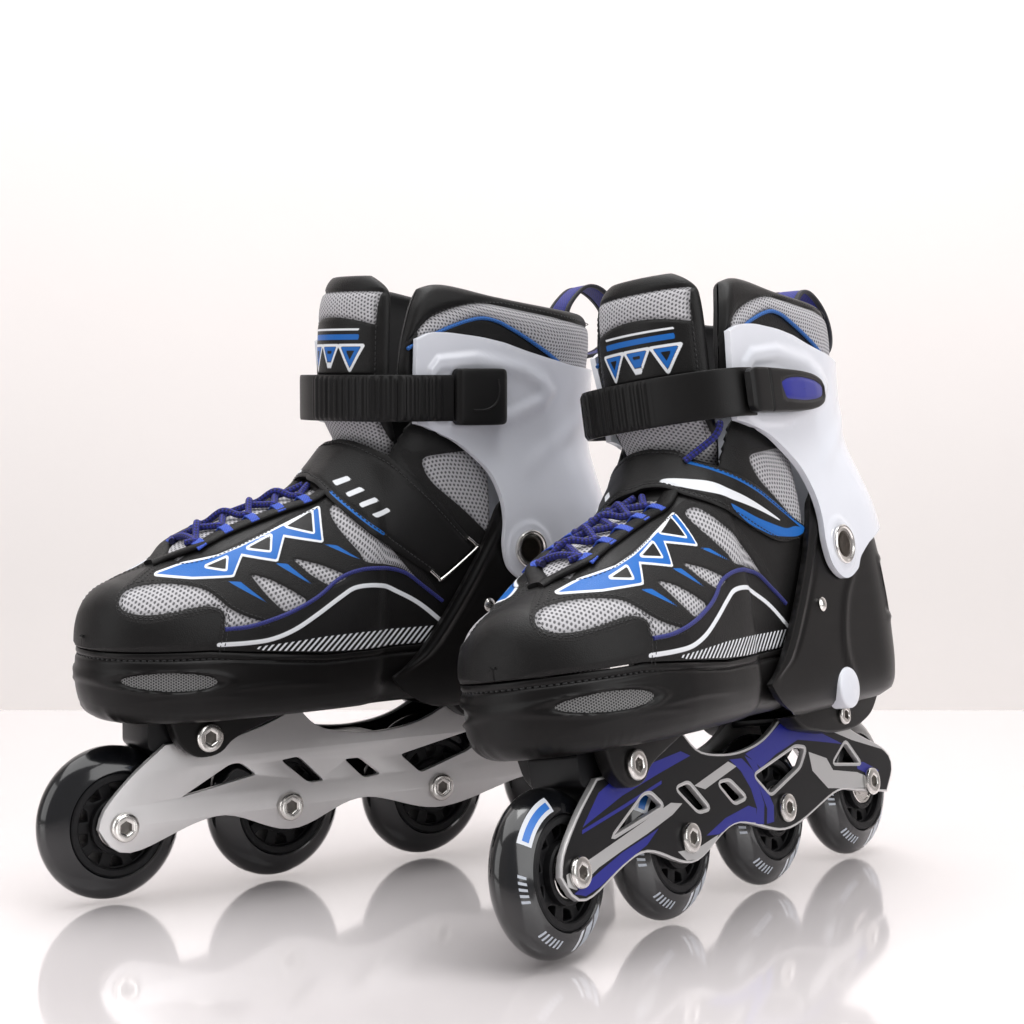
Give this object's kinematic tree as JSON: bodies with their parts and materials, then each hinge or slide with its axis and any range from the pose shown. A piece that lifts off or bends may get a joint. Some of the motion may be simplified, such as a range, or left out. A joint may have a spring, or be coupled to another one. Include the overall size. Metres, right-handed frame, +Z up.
{
  "type": "inline skates",
  "caption": "Pair of adjustable inline skates with soft boots, hinged cuffs, ratchet straps and in-line wheels on plate frames, standing heels together.",
  "frame": {"origin": "centre of the pair's bounding box, on the floor under the wheels", "axes": "+X the way the toes point on average, +Y to the wearer's left, +Z up"},
  "size_m": [0.3966, 0.2882, 0.2915],
  "materials": {
    "plate": "satin anodised side plates",
    "steel": "polished plated steel",
    "tyre": "smooth cast polyurethane",
    "hub": "moulded nylon",
    "black_shell": "semi-gloss moulded plastic",
    "white_shell": "glossy moulded plastic",
    "mesh_fabric": "grey air mesh over foam",
    "black_fabric": "black lining cloth over foam",
    "black_leather": "black synthetic leather",
    "blue_cord": "braided royal blue and navy cord"
  },
  "bodies": {
    "right_skate": {"right_chassis": "plate", "right_axle_1": "steel", "right_axle_2": "steel", "right_axle_3": "steel", "right_axle_4": "steel", "right_rear_mount_bolt": "steel", "right_heel_shell": "black_shell", "right_footbed": "black_fabric", "right_cuff_pivot_lateral": "steel", "right_cuff_pivot_medial": "steel", "right_tongue": "mesh_fabric"},
    "right_toe_part": {"right_toe_shell": "black_shell", "right_upper": "mesh_fabric", "right_instep_strap": "black_leather", "right_lace": "blue_cord", "right_front_mount_bolt": "steel"},
    "right_wheel_1": {"right_tyre_1": "tyre", "right_hub_1": "hub"},
    "right_wheel_2": {"right_tyre_2": "tyre", "right_hub_2": "hub"},
    "right_wheel_3": {"right_tyre_3": "tyre", "right_hub_3": "hub"},
    "right_wheel_4": {"right_tyre_4": "tyre", "right_hub_4": "hub"},
    "right_cuff_part": {"right_cuff": "white_shell", "right_collar": "black_fabric", "right_ankle_strap": "black_shell", "right_catch_body": "black_shell"},
    "right_lever": {"right_buckle_lever": "black_shell"},
    "right_button": {"right_size_button": "white_shell"},
    "left_skate": {"left_chassis": "plate", "left_axle_1": "steel", "left_axle_2": "steel", "left_axle_3": "steel", "left_axle_4": "steel", "left_rear_mount_bolt": "steel", "left_heel_shell": "black_shell", "left_footbed": "black_fabric", "left_cuff_pivot_lateral": "steel", "left_cuff_pivot_medial": "steel", "left_tongue": "mesh_fabric"},
    "left_toe_part": {"left_toe_shell": "black_shell", "left_upper": "mesh_fabric", "left_instep_strap": "black_leather", "left_lace": "blue_cord", "left_front_mount_bolt": "steel"},
    "left_wheel_1": {"left_tyre_1": "tyre", "left_hub_1": "hub"},
    "left_wheel_2": {"left_tyre_2": "tyre", "left_hub_2": "hub"},
    "left_wheel_3": {"left_tyre_3": "tyre", "left_hub_3": "hub"},
    "left_wheel_4": {"left_tyre_4": "tyre", "left_hub_4": "hub"},
    "left_cuff_part": {"left_cuff": "white_shell", "left_collar": "black_fabric", "left_ankle_strap": "black_shell", "left_catch_body": "black_shell"},
    "left_lever": {"left_buckle_lever": "black_shell"},
    "left_button": {"left_size_button": "white_shell"}
  },
  "joints": [
    {"name": "right_wheel_1_spin", "type": "hinge", "parent": "right_skate", "child": "right_wheel_1", "pos_m": [0.16276, -0.10568, 0.03545], "axis": [0.1573, 0.9876, 0], "continuous": true},
    {"name": "right_wheel_2_spin", "type": "hinge", "parent": "right_skate", "child": "right_wheel_2", "pos_m": [0.07546, -0.09177, 0.03545], "axis": [0.1573, 0.9876, 0], "continuous": true},
    {"name": "right_wheel_3_spin", "type": "hinge", "parent": "right_skate", "child": "right_wheel_3", "pos_m": [-0.01184, -0.07787, 0.03545], "axis": [0.1573, 0.9876, 0], "continuous": true},
    {"name": "right_wheel_4_spin", "type": "hinge", "parent": "right_skate", "child": "right_wheel_4", "pos_m": [-0.09914, -0.06396, 0.03545], "axis": [0.1573, 0.9876, 0], "continuous": true},
    {"name": "right_size_slide", "type": "slide", "parent": "right_skate", "child": "right_toe_part", "axis": [0.9876, -0.1573, 0], "range_m": [0, 0.02]},
    {"name": "right_cuff_flex", "type": "hinge", "parent": "right_skate", "child": "right_cuff_part", "pos_m": [-0.04463, -0.07264, 0.15645], "axis": [0.1573, 0.9876, 0], "range_deg": [0, 7], "stiffness_Nm_per_rad": 4},
    {"name": "right_buckle_lever_swing", "type": "hinge", "parent": "right_cuff_part", "child": "right_lever", "pos_m": [0.01408, -0.12999, 0.23245], "axis": [0, 0, 1], "range_deg": [0, 100]},
    {"name": "right_size_button_press", "type": "slide", "parent": "right_skate", "child": "right_button", "axis": [0.1573, 0.9876, 0], "range_m": [0, 0.003], "stiffness_N_per_m": 800},
    {"name": "left_skate_lift", "type": "slide", "parent": "right_skate", "child": "left_skate", "axis": [0, 0, 1], "range_m": [0, 0.35]},
    {"name": "left_wheel_1_spin", "type": "hinge", "parent": "left_skate", "child": "left_wheel_1", "pos_m": [0.09914, 0.11626, 0.03502], "axis": [-0.1554, 0.9754, 0.1564], "continuous": true},
    {"name": "left_wheel_2_spin", "type": "hinge", "parent": "left_skate", "child": "left_wheel_2", "pos_m": [0.01184, 0.10236, 0.03502], "axis": [-0.1554, 0.9754, 0.1564], "continuous": true},
    {"name": "left_wheel_3_spin", "type": "hinge", "parent": "left_skate", "child": "left_wheel_3", "pos_m": [-0.07546, 0.08845, 0.03502], "axis": [-0.1554, 0.9754, 0.1564], "continuous": true},
    {"name": "left_wheel_4_spin", "type": "hinge", "parent": "left_skate", "child": "left_wheel_4", "pos_m": [-0.16276, 0.07455, 0.03502], "axis": [-0.1554, 0.9754, 0.1564], "continuous": true},
    {"name": "left_size_slide", "type": "slide", "parent": "left_skate", "child": "left_toe_part", "axis": [0.9876, 0.1573, 0], "range_m": [0, 0.02]},
    {"name": "left_cuff_flex", "type": "hinge", "parent": "left_skate", "child": "left_cuff_part", "pos_m": [-0.10527, 0.06454, 0.15453], "axis": [-0.1554, 0.9754, 0.1564], "range_deg": [0, 7], "stiffness_Nm_per_rad": 4},
    {"name": "left_buckle_lever_swing", "type": "hinge", "parent": "left_cuff_part", "child": "left_lever", "pos_m": [-0.04459, 0.10957, 0.23701], "axis": [-0.0246, 0.1545, -0.9877], "range_deg": [0, 100]},
    {"name": "left_size_button_press", "type": "slide", "parent": "left_skate", "child": "left_button", "axis": [0.1554, -0.9754, -0.1564], "range_m": [0, 0.003], "stiffness_N_per_m": 800}
  ]
}
